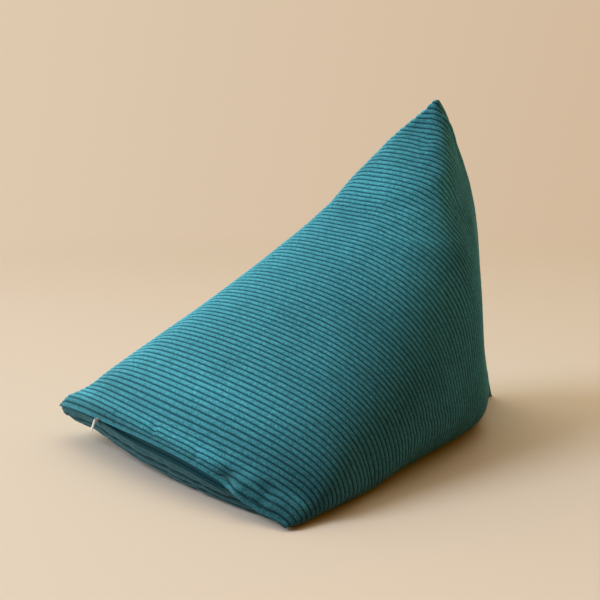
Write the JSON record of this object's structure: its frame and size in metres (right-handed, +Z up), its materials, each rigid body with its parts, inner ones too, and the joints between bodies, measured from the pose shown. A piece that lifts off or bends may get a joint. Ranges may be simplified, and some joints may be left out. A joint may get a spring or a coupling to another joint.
{
  "type": "meditation cushion",
  "caption": "Firm four-cornered floor cushion in wide-wale corduroy: a cloth tube closed by two crossed seams, with a zip along the front seam.",
  "frame": {"origin": "centre of the bounding box's bottom face, on the floor under the cushion", "axes": "+Y along the cloth tube from the zip seam to the back seam, +Z up, +X towards the front corner that lies on the floor"},
  "size_m": [0.4522, 0.5848, 0.4138],
  "materials": {
    "corduroy": "matt pile, ribbed",
    "zip_tape": "smooth woven tape",
    "zip_metal": "satin",
    "zip_pull": "satin"
  },
  "bodies": {
    "root": {"cushion": "corduroy", "zip_tape": "zip_tape", "zip_slider": "zip_metal", "zip_pull": "zip_pull"}
  },
  "joints": []
}
